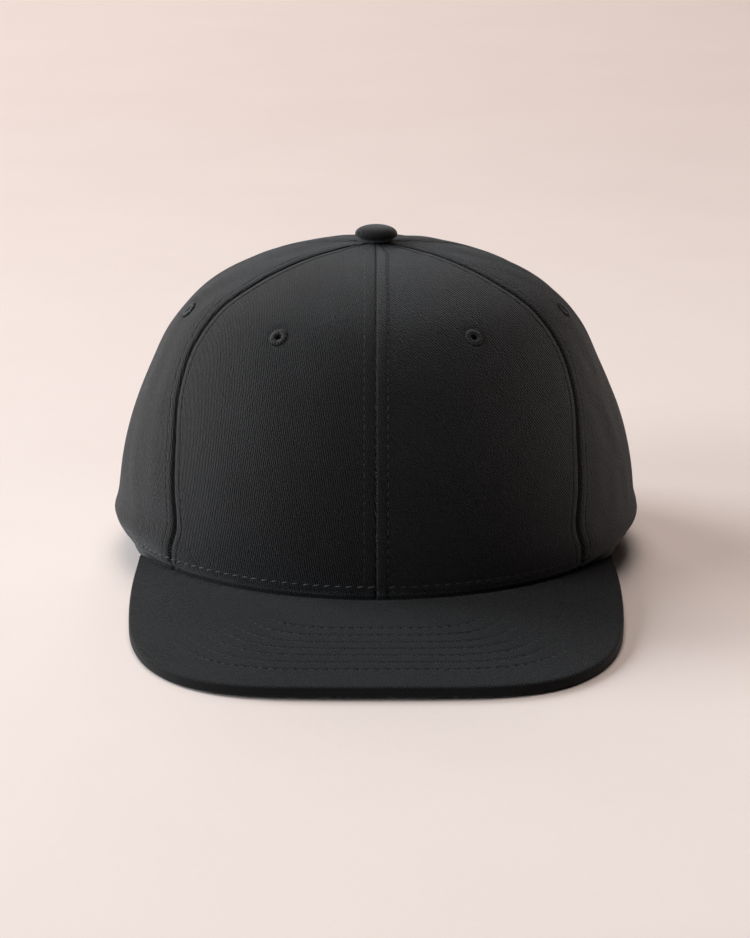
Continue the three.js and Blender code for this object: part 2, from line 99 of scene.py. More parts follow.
# Brim
BRIM_LENGTH = 72.0
BRIM_THICKNESS = 3.9
BRIM_END = math.radians(64)
BRIM_HORN_WIDTH = 3.5
BRIM_ARCH = 0.9
BRIM_GAP = 0.45
BRIM_ROUND = 1.15
BRIM_DROP = 0.7
BRIM_DROP_WIDTH = 1.2
BRIM_ACROSS = (1, 1.011, 1.003, 0.977, 0.92, 0.834, 0.726, 0.599, 0.441, 0.235, 0)
BRIM_FORWARD = (0, 0.206, 0.404, 0.581, 0.724, 0.833, 0.912, 0.961, 0.988, 0.998, 1)
BRIM_TOUCH_FORWARD = 0.833
BRIM_TOUCH_ACROSS = 0.834
BRIM_ROWS = (13.9, 19.3, 24.8, 30.1, 35.3, 41.1, 46.9)
GROOVE_DEPTHS = (0.05, 0.46)
GROOVE_WIDTH = 0.42

# Stitches
STITCH_PITCH = 3.3
HEM_STITCH_PITCH = 3.8
SEAM_STITCH_OFFSET = 4.1
HEM_STITCH_FRONT = 7.6
HEM_STITCH_BACK = 4.4

# Place, azimuth in degrees and level of the vent eyelets
EYELETS = (("front", 30, 0.568), ("side", 80, 0.56), ("back", 150, 0.56))


def along(values, place):
    """Smooth curve through evenly spaced values, for places from 0 to 1."""
    values = np.asarray(values, float)
    scaled = np.clip(place, 0, 1) * (len(values) - 1)
    k = np.minimum(scaled.astype(int), len(values) - 2)
    t = scaled - k
    ends = np.concatenate(([2 * values[0] - values[1]], values, [2 * values[-1] - values[-2]]))
    before, here, after, last = ends[k], ends[k + 1], ends[k + 2], ends[k + 3]
    bend = 2 * before - 5 * here + 4 * after - last
    turn = 3 * here - before - 3 * after + last
    return here + 0.5 * t * (after - before + t * (bend + t * turn))


def eased(t):
    t = np.clip(t, 0, 1)
    return t * t * (3 - 2 * t)


def mix(a, b, t):
    return a + (b - a) * t


def hump(distance, width):
    """1 at a distance of 0, falling away softly on both sides."""
    return np.exp(-((distance / width) ** 2))


def unit(v):
    return v / np.linalg.norm(v, axis=-1, keepdims=True)


def hem_height(azimuth):
    forward = np.cos(azimuth)
    ahead = forward * np.where(forward > 0, CROWN_FRONT_REACH, CROWN_BACK_REACH)
    return FRONT_LIFT * eased((ahead + HEM_REST) / (CROWN_FRONT_REACH + HEM_REST))


def crown_point(azimuth, level):
    """Outer face of the crown."""
    azimuth, level = np.broadcast_arrays(np.asarray(azimuth, float), np.asarray(level, float))
    across, forward = np.sin(azimuth), np.cos(azimuth)
    hem = hem_height(azimuth)
    height = (CROWN_HEIGHT - hem) * along(RISE, level)
    tuck = HEM_TUCK * hump(height, HEM_TUCK_HEIGHT)
    bulge = HEM_BULGE * hump(height - HEM_BULGE_HEIGHT, HEM_BULGE_SPREAD)
    at_side = eased((np.abs(across) - HEM_SHAPE_FROM) / (1 - HEM_SHAPE_FROM))
    side = CROWN_HALF_WIDTH * along(SIDE, level) + (bulge - tuck) * at_side
    reach_ahead = CROWN_FRONT_REACH * along(FRONT, level)
    reach_behind = CROWN_BACK_REACH * along(BACK, level)
    reach = np.where(forward > 0, reach_ahead, reach_behind)
    return np.stack((side * across, -reach * forward, hem + height), -1)


def crown_normal(azimuth, level):
    azimuth, level = np.broadcast_arrays(np.asarray(azimuth, float), np.asarray(level, float))
    step = 1e-3
    around = crown_point(azimuth + step, level) - crown_point(azimuth - step, level)
    higher, lower = np.minimum(level + step, 1), np.maximum(level - step, 0)
    up = crown_point(azimuth, higher) - crown_point(azimuth, lower)
    normal = unit(np.cross(around, up))
    normal[..., 2] *= np.minimum(1, level / LEVEL_HEM_TOP)
    return unit(normal)


def swing(azimuth, level):
    """Millimetres along the crown for one radian of azimuth."""
    step = 1e-3
    chord = crown_point(azimuth + step, level) - crown_point(azimuth - step, level)
    return np.linalg.norm(chord, axis=-1) / (2 * step)


def run_along(path):
    """Distance from the start of a path to each of its points."""
    return np.concatenate(([0], np.cumsum(np.linalg.norm(np.diff(path, axis=0), axis=1))))


def runs_across(grid):
    """The same for each row of a grid of points."""
    steps = np.linalg.norm(np.diff(grid, axis=1), axis=2)
    return np.pad(np.cumsum(steps, axis=1), ((0, 0), (1, 0)))


RISEN_LEVELS = np.linspace(0, 1, 2001)
RISEN = along(RISE, RISEN_LEVELS)


def level_at(height, azimuth):
    """The level at a height above the hem."""
    return np.interp(height / (CROWN_HEIGHT - hem_height(azimuth)), RISEN, RISEN_LEVELS)


def front_seam(level):
    return np.radians(along(SEAM, level))


# Rows up a panel: close together over the hem, then evenly spaced along the cloth
LOW_ROWS = level_at(np.arange(0, 12.1, 0.4), math.radians(60))
PROFILE_LEVELS = np.linspace(0, 1, 1501)
PROFILE = crown_point(math.radians(45), PROFILE_LEVELS)
PROFILE_RUN = run_along(PROFILE)
low_run = np.interp(LOW_ROWS[-1], PROFILE_LEVELS, PROFILE_RUN)
high_runs = np.linspace(low_run, PROFILE_RUN[-1], 106)[1:]
LEVELS = np.concatenate((LOW_ROWS, np.interp(high_runs, PROFILE_RUN, PROFILE_LEVELS)))

# Columns beside a seam, as distances from it, and the height of the cloth there for each kind of seam side
NEAR = np.array([0, 0.1, 0.25, 0.5, 0.85, 1.3, 1.9, 2.6, 3.2, 3.6, 3.85, 4.1, 4.35, 4.6, 5, 5.6, 6.6, 8])
SEAM_RELIEF = {
    "round": (-1, -0.8, -0.6, -0.44, -0.33, -0.22, -0.09, 0.05, 0.14)
    + (0.13, 0.02, -0.13, -0.1, -0.02, 0.02, 0.01, 0, 0),
    "sunk": (-1.5, -1.48, -1.4, -1.12, -0.5, -0.16, -0.02, 0.06, 0.1)
    + (0.08, -0.04, -0.2, -0.12, 0, 0.03, 0.01, 0, 0),
    "pressed": (-1, -0.6, -0.1, 0.14, 0.24, 0.29, 0.31, 0.31, 0.29)
    + (0.22, 0.07, -0.08, -0.1, -0.05, -0.01, 0, 0, 0),
    "flat": (-1, -0.7, -0.4, -0.25, -0.15, -0.09, -0.05, -0.02, 0)
    + (0, -0.03, -0.07, -0.04, -0.01, 0, 0, 0, 0),
}
NEAR_SHARE = 2.3
MIDDLE_COLUMNS = 40


def near_scale(start, end, level):
    """How far the columns beside the seams are squeezed together where a panel gets narrow."""
    width = (end - start) * swing((start + end) / 2, level)
    return np.minimum(1, width / (NEAR_SHARE * NEAR[-1]))


def arch_places(across):
    """Azimuth and level on the edge of the half-moon opening, at a distance from the back centre."""
    height = ARCH_HEIGHT * np.sqrt(np.maximum(0, 1 - (across / ARCH_HALF_WIDTH) ** 2))
    level = level_at(height, math.pi)
    azimuth = math.pi - np.arcsin(across / (CROWN_HALF_WIDTH * along(SIDE, level)))
    for _ in range(4):
        point = crown_point(azimuth, level)
        azimuth = azimuth + (point[..., 0] - across) / swing(azimuth, level)
    return azimuth, level


def panel_grid(place):
    """Azimuth and level of each vertex of a panel, and its distances from its two seams."""
    start_of, end_of = {
        "front": (lambda level: np.zeros_like(level), front_seam),
        "side": (front_seam, lambda level: np.full_like(level, REAR_SEAM)),
        "back": (lambda level: np.full_like(level, REAR_SEAM), lambda level: np.full_like(level, math.pi)),
    }[place]
    count = len(NEAR)
    columns = 2 * count + MIDDLE_COLUMNS
    shares = np.arange(1, MIDDLE_COLUMNS + 1) / (MIDDLE_COLUMNS + 1)
    foot_level = np.zeros(columns)
    foot_share = shares.copy()
    if place == "back":
        hem_columns = MIDDLE_COLUMNS // 3
        near_end = REAR_SEAM + NEAR[-1] / swing(REAR_SEAM, 0)
        arch_foot = arch_places(np.array([ARCH_HALF_WIDTH]))[0][0]
        hem_azimuth = mix(near_end, arch_foot, np.arange(1, hem_columns + 1) / hem_columns)
        turn_end = math.acos(NEAR[-1] / ARCH_HALF_WIDTH)
        arch_columns = MIDDLE_COLUMNS - hem_columns
        turns = turn_end * np.arange(1, arch_columns + 1) / (arch_columns + 1)
        arch_azimuth, arch_level = arch_places(ARCH_HALF_WIDTH * np.cos(turns))
        end_level = arch_places(NEAR[::-1])[1]
        foot_level = np.concatenate((np.zeros(count + hem_columns), arch_level, end_level))
        foot_azimuth = np.concatenate((hem_azimuth, arch_azimuth))
    level = mix(foot_level[None, :], 1, LEVELS[:, None])
    start, end = start_of(level), end_of(level)
    scale = near_scale(start, end, level)
    from_start = NEAR[None, :] * scale[:, :count]
    from_end = NEAR[::-1][None, :] * scale[:, -count:]
    azimuth = np.empty_like(level)
    azimuth[:, :count] = start[:, :count] + from_start / swing(start, level)[:, :count]
    azimuth[:, -count:] = end[:, -count:] - from_end / swing(end, level)[:, -count:]
    inner = slice(count, columns - count)
    low = (start + NEAR[-1] * scale / swing(start, level))[:, inner]
    high = (end - NEAR[-1] * scale / swing(end, level))[:, inner]
    if place == "back":
        foot_share = (foot_azimuth - low[0]) / (high[0] - low[0])
    share = mix(foot_share[None, :], shares[None, :], LEVELS[:, None])
    azimuth[:, inner] = mix(low, high, share)
    from_start = (azimuth - start) * swing(start, level) / scale
    from_end = (end - azimuth) * swing(end, level) / scale
    return azimuth, level, [from_start, from_end]


def hem_stitch_height(azimuth):
    behind = eased((azimuth - BRIM_END - 0.05) / 0.5)
    return mix(HEM_STITCH_FRONT, HEM_STITCH_BACK, behind)


def arch_distance(point, level):
    """Distance of points of a back panel from the edge of the half-moon opening."""
    edge = crown_point(*arch_places(ARCH_HALF_WIDTH * np.cos(np.linspace(0, math.pi / 2, 160))))
    flat = point.reshape(-1, 3)
    nearest = np.full(len(flat), 1e3)
    for spot in edge:
        nearest = np.minimum(nearest, np.linalg.norm(flat - spot, axis=1))
    return nearest.reshape(level.shape)


def waves(u, v, count, longest, seed):
    """Soft uneven folds, mostly upright, between -1 and 1."""
    pick = np.random.default_rng(seed)
    total = np.zeros_like(u)
    for _ in range(count):
        length = longest * pick.uniform(0.45, 1)
        lean = pick.uniform(-0.35, 0.35)
        total += np.sin(math.tau * (u + lean * v) / length + pick.uniform(0, math.tau))
    return total / count


def cloth_run(level):
    return np.interp(level, PROFILE_LEVELS, PROFILE_RUN)


def add_uv(mesh, uv):
    layer = mesh.uv_layers.new(name="cloth")
    corners = np.empty(len(mesh.loops), np.int32)
    mesh.loops.foreach_get("vertex_index", corners)
    layer.data.foreach_set("uv", uv[corners].astype(np.float32).ravel())


def weld(mesh):
    """Joins points that coincide and turns all faces outwards."""
    work = bmesh.new()
    work.from_mesh(mesh)
    bmesh.ops.remove_doubles(work, verts=work.verts, dist=2e-6)
    bmesh.ops.dissolve_degenerate(work, edges=work.edges, dist=1e-7)
    bmesh.ops.recalc_face_normals(work, faces=work.faces)
    work.to_mesh(mesh)
    work.free()


def new_object(name, data):
    made = bpy.data.objects.new(name, data)
    bpy.context.scene.collection.objects.link(made)
    return made


def new_mesh(name, points, faces):
    """A mesh from points in millimetres round the axis."""
    mesh = bpy.data.meshes.new(name)
    mesh.from_pydata(((points + AXIS) * MM).tolist(), [], faces)
    return mesh


def smooth(mesh):
    mesh.polygons.foreach_set("use_smooth", np.ones(len(mesh.polygons), bool))


def build(name, points, faces, material, uv=None, sharp=math.radians(60), joined=False):
    """A smooth mesh object from points in millimetres, riding on the cap."""
    faces = np.asarray(faces)
    used = np.unique(faces)
    fresh = np.full(len(points), -1)
    fresh[used] = np.arange(len(used))
    mesh = new_mesh(name, points[used], fresh[faces].tolist())
    if uv is not None:
        add_uv(mesh, uv[used])
    if joined:
        weld(mesh)
    smooth(mesh)
    mesh.set_sharp_from_angle(angle=sharp)
    mesh.materials.append(material)
    made = new_object(name, mesh)
    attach(made, "root")
    return made


def shell_faces(keep):
    """Faces of a closed body between an outer and an inner grid, for the cells that are kept."""
    rows, columns = keep.shape[0] + 1, keep.shape[1] + 1
    index = np.arange(rows * columns).reshape(rows, columns)
    a, b, c, d = index[:-1, :-1], index[:-1, 1:], index[1:, 1:], index[1:, :-1]
    n = rows * columns
    around = np.pad(keep, 1)
    below = keep & ~around[:-2, 1:-1]
    above = keep & ~around[2:, 1:-1]
    left = keep & ~around[1:-1, :-2]
    right = keep & ~around[1:-1, 2:]
    return np.concatenate(
        (
            np.stack((a, b, c, d), -1)[keep],
            np.stack((a, d, c, b), -1)[keep] + n,
            np.stack((a, a + n, b + n, b), -1)[below],
            np.stack((d, c, c + n, d + n), -1)[above],
            np.stack((a, d, d + n, a + n), -1)[left],
            np.stack((b, b + n, c + n, c), -1)[right],
        )
    )


def shell(name, outer, inner, material, uv, keep=None, mirrored=False):
    if keep is None:
        keep = np.ones((outer.shape[0] - 1, outer.shape[1] - 1), bool)
    points = np.concatenate((outer.reshape(-1, 3), inner.reshape(-1, 3)))
    faces = shell_faces(keep)
    if mirrored:
        points = points * (-1, 1, 1)
        faces = faces[:, ::-1]
    return build(name, points, faces, material, np.tile(uv.reshape(-1, 2), (2, 1)))


def turned(uv, degrees):
    """Cloth coordinates turned so that the second one runs along the twill's ridges."""
    sine, cosine = math.sin(math.radians(degrees)), math.cos(math.radians(degrees))
    u, v = uv[..., 0], uv[..., 1]
    return np.stack((u * sine - v * cosine, u * cosine + v * sine), -1)


# Materials


def make(tree, kind, inputs=(), **settings):
    node = tree.nodes.new(kind)
    for key, value in settings.items():
        setattr(node, key, value)
    for key, value in dict(inputs).items():
        if isinstance(value, bpy.types.NodeSocket):
            tree.links.new(value, node.inputs[key])
        else:
            node.inputs[key].default_value = value
    return node


def maths(tree, operation, *values):
    return make(tree, "ShaderNodeMath", enumerate(values), operation=operation).outputs[0]


def times(tree, *values):
    """The product of two values, plus a third where there is one."""
    return maths(tree, "MULTIPLY_ADD" if len(values) == 3 else "MULTIPLY", *values)


def ramp(tree, factor, stops):
    """A colour ramp through (position, colour) stops."""
    node = make(tree, "ShaderNodeValToRGB", {"Fac": factor})
    elements = node.color_ramp.elements
    while len(elements) < len(stops):
        elements.new(0.5)
    for element, (position, colour) in zip(elements, stops):
        element.position = position
        element.color = (*colour, 1)
    return node.outputs["Color"]


def noise(tree, vector, scale, detail=2.0, roughness=0.5):
    inputs = {"Vector": vector, "Scale": scale, "Detail": detail, "Roughness": roughness}
    return make(tree, "ShaderNodeTexNoise", inputs).outputs["Fac"]


def wave(tree, phase):
    """A sine wave between 0 and 1."""
    return times(tree, maths(tree, "SINE", phase), 0.5, 0.5)


def rescale(tree, value, low, high, to_low, to_high):
    inputs = {"Value": value, "From Min": low, "From Max": high, "To Min": to_low, "To Max": to_high}
    return make(tree, "ShaderNodeMapRange", inputs).outputs["Result"]


def mixed(tree, factor, first, second, **settings):
    inputs = {"Factor": factor, 6: first, 7: second}
    return make(tree, "ShaderNodeMix", inputs, data_type="RGBA", **settings).outputs[2]


def bumped(tree, height, distance, strength=1.0):
    """The normal of a surface raised by a height, over a distance in metres."""
    inputs = {"Strength": strength, "Distance": distance, "Height": height}
    return make(tree, "ShaderNodeBump", inputs).outputs["Normal"]


def cloth_place(tree):
    """The place on the cloth, and its two parts apart."""
    uv = make(tree, "ShaderNodeUVMap", uv_map="cloth").outputs["UV"]
    parts = make(tree, "ShaderNodeSeparateXYZ", {"Vector": uv}).outputs
    return uv, parts["X"], parts["Y"]


def new_material(name):
    material = bpy.data.materials.new(name)
    material.use_nodes = True
    tree = material.node_tree
    tree.nodes.clear()
    output = tree.nodes.new("ShaderNodeOutputMaterial")
    return material, tree, output


def finish_material(tree, output, colour, bump, settings):
    inputs = {"Base Color": colour, "Normal": bump, **settings}
    shader = make(tree, "ShaderNodeBsdfPrincipled", inputs)
    tree.links.new(shader.outputs[0], output.inputs["Surface"])


FLOAT_LENGTH = 0.74
LINT = 0.06


def twill(name, valley_shade, ridge, settings, pitch=0.78, depth=0.3):
    """Cotton twill: slanted ridges of short floats, uneven yarn, faded mottling and a little lint."""
    material, tree, output = new_material(name)
    uv, uv_x, uv_y = cloth_place(tree)
    wander = noise(tree, uv, 0.09, 3.0)
    yarn = noise(tree, uv, 2.6, 2.0, 0.6)
    drift = times(tree, wander, 7.0)
    jitter = times(tree, noise(tree, uv, 1.2, 2.0), 8.0, drift)
    across = times(tree, uv_x, math.tau / pitch, jitter)
    ridges = wave(tree, across)
    step = times(tree, across, 0.45, times(tree, yarn, 2.5))
    floats = wave(tree, times(tree, uv_y, math.tau / FLOAT_LENGTH, step))
    woven = times(tree, ridges, times(tree, floats, 0.5, 0.5))
    height = times(tree, yarn, 0.75, woven)
    mottle = noise(tree, uv, 0.045, 4.0, 0.55)
    fade = rescale(tree, mottle, 0.3, 0.72, 0.78, 1.2)
    # Valleys take painted shade and ridges a lighter colour, partly lint grey and partly painted sheen.
    colour = ramp(tree, times(tree, height, fade), ((0.12, valley_shade), (1.0, ridge)))
    cells = make(tree, "ShaderNodeTexVoronoi", {"Vector": uv, "Scale": 0.3, "Randomness": 1.0})
    speck = rescale(tree, cells.outputs["Distance"], 0.03, 0.055, LINT, 0.0)
    colour = mixed(tree, speck, colour, (0.5, 0.5, 0.5, 1))
    finish_material(tree, output, colour, bumped(tree, height, depth * MM), settings)
    return material


def thread(name, dark, light, settings):
    """Twisted thread."""
    material, tree, output = new_material(name)
    place = make(tree, "ShaderNodeTexCoord").outputs["Object"]
    fibres = noise(tree, place, 4200.0, 2.0, 0.6)
    tone = noise(tree, place, 300.0, 2.0)
    blend = times(tree, fibres, 0.6, times(tree, tone, 0.4))
    colour = ramp(tree, blend, ((0.3, dark), (0.7, light)))
    finish_material(tree, output, colour, bumped(tree, fibres, 0.05 * MM, 0.8), settings)
    return material


YARN_PITCH = 0.9


def plain_weave(name, dark, light, settings):
    """Plain woven cotton band."""
    material, tree, output = new_material(name)
    uv, *both = cloth_place(tree)
    warp, weft = [maths(tree, "SINE", times(tree, way, math.tau / YARN_PITCH)) for way in both]
    weave = times(tree, times(tree, warp, weft), 0.5, 0.5)
    yarn = noise(tree, uv, 2.2, 3.0, 0.6)
    height = times(tree, yarn, 0.5, weave)
    mottle = noise(tree, uv, 0.06, 4.0)
    blend = times(tree, height, maths(tree, "ADD", mottle, 0.4))
    colour = ramp(tree, blend, ((0.05, dark), (1.0, light)))
    finish_material(tree, output, colour, bumped(tree, height, 0.1 * MM), settings)
    return material


def moulded(name, dark, light, settings):
    """Satin moulded plastic with a fine grain and faint rub marks."""
    material, tree, output = new_material(name)
    place = make(tree, "ShaderNodeTexCoord").outputs["Object"]
    grain = noise(tree, place, 2600.0, 3.0, 0.6)
    rub = noise(tree, place, 70.0, 5.0, 0.7)
    colour = ramp(tree, rub, ((0.3, dark), (0.75, light)))
    rough = rescale(tree, rub, 0.3, 0.75, 0.34, 0.52)
    bump = bumped(tree, grain, 0.03 * MM, 0.5)
    finish_material(tree, output, colour, bump, {"Roughness": rough, **settings})
    return material


COTTON = {
    "Roughness": 0.8,
    "Specular IOR Level": 0.16,
    "Sheen Weight": 0.32,
    "Sheen Roughness": 0.4,
    "Sheen Tint": (0.93, 0.96, 1.0, 1),
}
BRIM_COTTON = {**COTTON, "Sheen Weight": 0.14}
# The valley colours below are painted shade in the twill's hollows.
SHADED_VALLEY = (0.0006, 0.0006, 0.0006)
crown_twill = twill("crown_twill", SHADED_VALLEY, (0.0125, 0.0132, 0.0145), COTTON)
button_twill = twill("button_twill", (0.0015, 0.0016, 0.0018), (0.0085, 0.009, 0.0098), COTTON, depth=0.1)
# The brim's ridges are darker than the crown's, though it is the same cloth: painted shade.
brim_twill = twill("brim_twill", SHADED_VALLEY, (0.0085, 0.0088, 0.0095), BRIM_COTTON, pitch=1.07, depth=0.4)
SHADED_EDGE_VALLEY = (0.0015, 0.0015, 0.0016)
brim_edge_twill = twill("brim_edge_twill", SHADED_EDGE_VALLEY, (0.0075, 0.0078, 0.0084), BRIM_COTTON, depth=0.08)
THREAD = {"Roughness": 0.45, "Specular IOR Level": 0.4, "Sheen Weight": 0.3, "Sheen Roughness": 0.35}
black_thread = thread("black_thread", (0.01, 0.0105, 0.0115), (0.04, 0.042, 0.047), THREAD)
# The brim's thread is darker than the same thread elsewhere: painted shade of the grooves it lies in.
shaded_brim_thread = thread("shaded_brim_thread", (0.004, 0.0042, 0.0046), (0.016, 0.0165, 0.018), THREAD)
# The hem's thread is lighter than the same thread elsewhere: a painted highlight.
lit_hem_thread = thread("lit_hem_thread", (0.03, 0.0315, 0.034), (0.1, 0.105, 0.112), THREAD)
eyelet_thread = thread("eyelet_thread", (0.004, 0.0042, 0.005), (0.026, 0.027, 0.03), THREAD)
BAND = {"Roughness": 0.9, "Specular IOR Level": 0.25, "Sheen Weight": 0.3, "Sheen Roughness": 0.5}
band_cloth = plain_weave("band_cloth", (0.005, 0.005, 0.0055), (0.03, 0.0305, 0.032), BAND)
PLASTIC = {"Specular IOR Level": 0.5}
strap_plastic = moulded("strap_plastic", (0.008, 0.008, 0.0085), (0.016, 0.016, 0.017), PLASTIC)


# Panels

# The twill's direction in degrees from level, seen from outside, and the relief beside a panel's two seams
PANELS = {
    ("front", -1): (100, ("flat", 1.0), ("sunk", 0.95)),
    ("front", 1): (131, ("pressed", 1.0), ("sunk", 0.8)),
    ("side", -1): (118, ("sunk", 1.0), ("round", 1.1)),
    ("side", 1): (118, ("sunk", 0.8), ("round", 1.1)),
    ("back", -1): (124, ("round", 1.1), ("round", 0.9)),
    ("back", 1): (112, ("round", 1.1), ("round", 0.9)),
}
SIDE_NAMES = {1: "left", -1: "right"}
HOLE_CUT = 2.1
DEEPEST = -1.45
FIRM_EDGE = 14
DIMPLE_RADIUS, DIMPLE_WIDTH, DIMPLE_DEPTH = 3.2, 0.8, 0.42

# Relief where the crown meets the brim: height, width and rise
CREASE = ((6.6, 1.3, 0.3), (3.9, 1.0, -0.85))
CREASE_END = 0.06

# Soft folds of each panel: seed, height and longest wave
FOLDS = {"front": (3, 0.1, 46), "side": (5, 0.42, 30), "back": (7, 0.4, 34)}

# Small dents behind the ends of the brim, where stitches pull: side, azimuth in degrees, height, depth
HEM_DENTS = ((-1, 62, 6.8, 0.95), (-1, 73, 6.2, 0.7), (1, 64, 6.6, 0.6), (1, 76, 6.0, 0.4))

for place, vent_azimuth, vent_level in EYELETS:
    azimuth, level, from_seams = panel_grid(place)
    point = crown_point(azimuth, level)
    normal = crown_normal(azimuth, level)
    height = point[..., 2] - hem_height(azimuth)
    u = runs_across(point)
    grain = u if place == "front" else u - u[:, -1:] / 2
    v = cloth_run(level)
    u = u - u[:, -1:] / 2
    edge = arch_distance(point, level) if place == "back" else np.full_like(level, 1e3)
    free = eased(np.minimum(*from_seams) / FIRM_EDGE) * eased((height - 3) / FIRM_EDGE)
    free = free * eased(edge / 10) * eased((1 - level) / 0.12)
    rolled = -0.55 * hump(np.minimum(height, edge), 0.45)
    row = np.minimum(np.abs(height - hem_stitch_height(azimuth)), np.abs(edge - SEAM_STITCH_OFFSET))
    row = np.where((height > 2) & (edge > 2), row, 9)
    rows = rolled - 0.2 * hump(row, 0.5)
    ahead = eased((BRIM_END + CREASE_END - azimuth) / CREASE_END)
    rows = rows + ahead * sum(rise * hump(height - middle, width) for middle, width, rise in CREASE)
    centre = crown_point(math.radians(vent_azimuth), vent_level)
    from_vent = np.linalg.norm(point - centre, axis=-1)
    dimple = -DIMPLE_DEPTH * hump(from_vent - DIMPLE_RADIUS, DIMPLE_WIDTH)
    whole = from_vent > HOLE_CUT
    keep = whole[:-1, :-1] & whole[1:, :-1] & whole[:-1, 1:] & whole[1:, 1:]
    seed, fold_height, longest = FOLDS[place]
    for side in (1, -1):
        fold = fold_height * waves(u, v, 5, longest, seed + (side > 0)) * free
        dent = np.zeros_like(level)
        for dent_side, dent_azimuth, dent_height, dent_depth in HEM_DENTS:
            if dent_side == side:
                x = (azimuth - math.radians(dent_azimuth)) * swing(azimuth, level)
                z = height - dent_height
                dent -= dent_depth * np.exp(-((x / 1.3) ** 2) - (z / 1.0) ** 2)
                tail = (np.maximum(z, 0) / 7) ** 2 + (np.minimum(z, 0) / 1.5) ** 2
                dent -= 0.45 * dent_depth * np.exp(-((x / 2.6) ** 2) - tail)
        ridge_angle, *kinds = PANELS[place, side]
        beside = zip(from_seams, kinds)
        seams = sum(size * np.interp(d, NEAR, SEAM_RELIEF[kind]) for d, (kind, size) in beside)
        seams = seams * eased((1 - level) / 0.04 + 0.25)
        relief = np.maximum(seams + rows + dimple + dent, DEEPEST) + fold
        outer = point + normal * relief[..., None]
        inner = point - normal * (CLOTH_WALL + rolled * 0.9 - fold)[..., None]
        outside = turned(np.stack((grain * side, v), -1), ridge_angle)
        name = f"{place}_panel_{SIDE_NAMES[side]}"
        made = shell(f"{name}_cloth", outer, inner, crown_twill, outside, keep, mirrored=side < 0)
        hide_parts(name)


# Stitches


class Pile:
    """Points and faces of many small bodies that become one mesh."""

    def __init__(self):
        self.points = []
        self.faces = []
        self.count = 0

    def add(self, points, faces, mirror=False):
        if mirror:
            points, faces = points * (-1, 1, 1), [f[::-1] for f in faces]
        self.points.append(points)
        self.faces.extend((np.asarray(f) + self.count).tolist() for f in faces)
        self.count += len(points)

    def build(self, name, material, slot):
        mesh = new_mesh(name, np.concatenate(self.points), self.faces)
        smooth(mesh)
        mesh.materials.append(material)
        made = new_object(name, mesh)
        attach(made, "root")
        return made


def tube(path, up, radii, sides=6):
    """A closed tube along a path. up is a direction across it, and radii one radius for each point."""
    path = np.asarray(path, float)
    ahead = unit(np.gradient(path, axis=0))
    across = unit(np.cross(ahead, up))
    over = np.cross(across, ahead)
    turn = np.arange(sides) * math.tau / sides
    ring = np.cos(turn)[None, :, None] * across[:, None] + np.sin(turn)[None, :, None] * over[:, None]
    points = path[:, None] + ring * np.asarray(radii, float)[:, None, None]
    count = len(path)
    faces = []
    for i in range(count - 1):
        for k in range(sides):
            a, b = i * sides + k, i * sides + (k + 1) % sides
            faces.append((a, a + sides, b + sides, b))
    faces.append(tuple(range(sides)))
    faces.append(tuple((count - 1) * sides + k for k in reversed(range(sides))))
    return points.reshape(-1, 3), faces


STITCH_PLACES = np.array([0, 0.12, 0.5, 0.88, 1])
STITCH_HEIGHTS = np.array([-0.22, 0.06, 0.15, 0.06, -0.22])
STITCH_WIDTHS = np.array([0.55, 0.95, 1, 0.95, 0.55])


def stitch_row(pile, path, normals, radius=0.2, length=2.5, pitch=STITCH_PITCH, slant=0.0, mirror=False):
    """Short threads laid end to end along a line on the cloth, their ends in the cloth."""
    run = run_along(path)
    total = int((run[-1] - 0.4) / pitch)
    for k in range(total):
        begin = 0.3 + k * pitch + rng.uniform(-0.12, 0.12)
        places = begin + STITCH_PLACES * length * rng.uniform(0.94, 1.05)
        at = np.stack([np.interp(places, run, path[:, i]) for i in range(3)], -1)
        up = unit(np.stack([np.interp(places, run, normals[:, i]) for i in range(3)], -1))
        ahead = unit(at[-1] - at[0])
        skew = np.cross(up[2], ahead) * (slant + rng.uniform(-0.1, 0.1))
        at = at + up * (STITCH_HEIGHTS * radius / 0.2)[:, None] + skew * np.linspace(-1, 1, 5)[:, None]
        pile.add(*tube(at, up, radius * STITCH_WIDTHS), mirror)


def seam_row(seam_of, offset, low_level, high_level):
    """A line beside a seam, at an offset towards the back of the cap (positive) or the front."""
    levels = np.interp(
        np.linspace(cloth_run(low_level), cloth_run(high_level), 160), PROFILE_RUN, PROFILE_LEVELS
    )
    seam = seam_of(levels)
    azimuth = seam + offset / swing(seam, levels)
    return azimuth, levels


def fixed(azimuth):
    return lambda level: np.full_like(level, azimuth)


THREAD_SINK = 0.2
BEHIND = 2.5
BOTH = (False, True)
centre_foot, front_foot, rear_foot = level_at(8.4, 0.0), level_at(7.9, BEHIND), level_at(5.0, BEHIND)

# Stitch rows beside seams: seam, direction from it, mirrored or not, dip in the cloth, lowest level, radius
SEAM_ROWS = (
    (fixed(0.0), 1, (False,), -0.08, centre_foot, 0.16),
    (fixed(0.0), 1, (True,), -0.07, centre_foot, 0.11),
    (front_seam, -1, BOTH, -0.12, front_foot, 0.14),
    (front_seam, 1, BOTH, -0.18, front_foot, 0.15),
    (fixed(REAR_SEAM), -1, BOTH, -0.14, rear_foot, 0.15),
    (fixed(REAR_SEAM), 1, BOTH, -0.14, rear_foot, 0.15),
    (fixed(math.pi), -1, BOTH, -0.12, level_at(ARCH_HEIGHT + 4.6, BEHIND), 0.15),
)
seam_pile = Pile()
for seam_of, direction, mirrors, dip, low_level, radius in SEAM_ROWS:
    azimuth, levels = seam_row(seam_of, direction * SEAM_STITCH_OFFSET, low_level, 0.93)
    normals = crown_normal(azimuth, levels)
    path = crown_point(azimuth, levels) + normals * (dip - 0.04)
    under = crown_point(azimuth, levels) - normals * CLOTH_WALL
    for mirror in mirrors:
        stitch_row(seam_pile, path, normals, radius=radius, mirror=mirror)
        stitch_row(seam_pile, under, -normals, radius=0.16, mirror=mirror)
seam_pile.build("seam_stitches", black_thread, "eyelet_thread")

